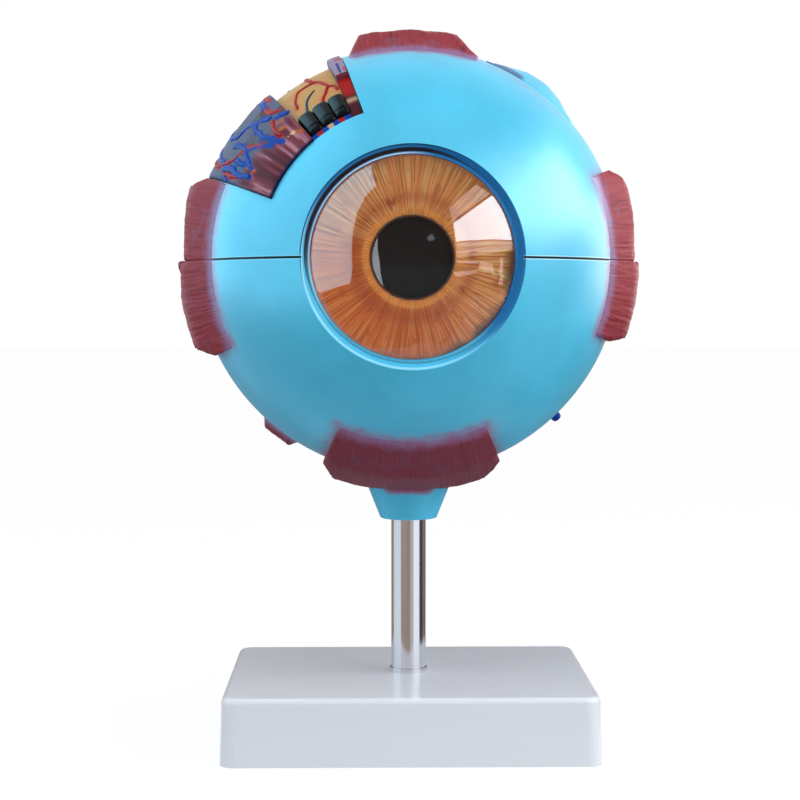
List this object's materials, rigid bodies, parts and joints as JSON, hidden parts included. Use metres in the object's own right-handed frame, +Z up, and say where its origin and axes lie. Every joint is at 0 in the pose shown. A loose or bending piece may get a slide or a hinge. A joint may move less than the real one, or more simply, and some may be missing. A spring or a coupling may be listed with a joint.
{
  "type": "eye anatomy model",
  "caption": "Enlarged dissectible eye on a chrome rod and moulded base, with lift-off upper half, removable cornea, iris, lens and vitreous body.",
  "frame": {"origin": "on the rod's axis, in the plane that the base stands on", "axes": "+Z up along the rod; -Y is the way the eye looks, so a viewer in front looks along +Y; +X is the viewer's right"},
  "size_m": [0.1528, 0.171, 0.2399],
  "materials": {
    "white_plastic": "glossy moulded plastic",
    "chrome": "polished plate",
    "zinc_steel": "zinc plated",
    "brass": "turned",
    "blue_sclera": "painted, satin gloss",
    "choroid_brown": "painted",
    "retina_orange": "painted",
    "ciliary_brown": "painted",
    "muscle_red": "painted, satin",
    "clear_cornea": "clear, polished",
    "iris_amber": "fine radial fibres",
    "clear_lens": "clear, polished",
    "clear_vitreous": "clear, polished",
    "nerve_yellow": "painted",
    "artery_red": "painted",
    "vein_blue": "painted",
    "choroid_vessels": "painted with red and blue vessels",
    "choroid_edge": "painted",
    "retina_buff": "painted with thin vessels",
    "pigment_black": "satin"
  },
  "bodies": {
    "stand": {"base": "white_plastic", "base_cover": "white_plastic", "rod": "chrome", "rod_collar": "chrome", "rod_washer": "zinc_steel", "rod_screw": "zinc_steel", "eye_washer": "zinc_steel", "eye_screw": "zinc_steel"},
    "lower_half": {"lower_sclera": "blue_sclera", "lower_choroid": "choroid_brown", "lower_retina": "retina_orange", "lower_ciliary_body": "ciliary_brown", "locating_pins": "zinc_steel", "socket_bush": "brass", "inferior_rectus": "muscle_red", "medial_rectus_lower": "muscle_red", "lateral_rectus_lower": "muscle_red", "inferior_oblique": "muscle_red", "vortex_veins_lower": "vein_blue", "optic_nerve_sheath": "blue_sclera", "optic_nerve": "nerve_yellow", "central_artery": "artery_red", "central_vein": "vein_blue"},
    "upper_half": {"upper_sclera": "blue_sclera", "upper_choroid": "choroid_brown", "upper_retina": "retina_orange", "upper_ciliary_body": "ciliary_brown", "superior_rectus": "muscle_red", "medial_rectus_upper": "muscle_red", "lateral_rectus_upper": "muscle_red", "superior_oblique": "muscle_red", "vortex_veins_upper": "vein_blue", "choroid_panel": "choroid_vessels", "choroid_margin": "choroid_edge", "retina_panel": "retina_buff", "pigment_lobes": "pigment_black"},
    "vitreous": {"vitreous_body": "clear_vitreous"},
    "lens": {"lens": "clear_lens"},
    "iris": {"iris": "iris_amber"},
    "cornea": {"cornea": "clear_cornea"}
  },
  "joints": [
    {"name": "eye_turn", "type": "hinge", "parent": "stand", "child": "lower_half", "pos_m": [0, 0, 0.08], "axis": [0, 0, 1], "continuous": true},
    {"name": "upper_half_lift", "type": "slide", "parent": "lower_half", "child": "upper_half", "axis": [0, 0, 1], "range_m": [0, 0.17]},
    {"name": "vitreous_lift", "type": "slide", "parent": "lower_half", "child": "vitreous", "axis": [0, 0, 1], "range_m": [0, 0.0685]},
    {"name": "cornea_pull", "type": "slide", "parent": "lower_half", "child": "cornea", "axis": [0, -1, 0], "range_m": [0, 0.095]},
    {"name": "iris_pull", "type": "slide", "parent": "lower_half", "child": "iris", "axis": [0, -1, 0], "range_m": [0, 0.07555]},
    {"name": "lens_pull", "type": "slide", "parent": "vitreous", "child": "lens", "axis": [0, -1, 0], "range_m": [0, 0.06035]}
  ],
  "couplings": [
    {"joint": "vitreous_lift", "follows": "upper_half_lift", "ratio": 0.4},
    {"joint": "iris_pull", "follows": "cornea_pull", "ratio": 0.79},
    {"joint": "lens_pull", "follows": "cornea_pull", "ratio": 0.63}
  ]
}
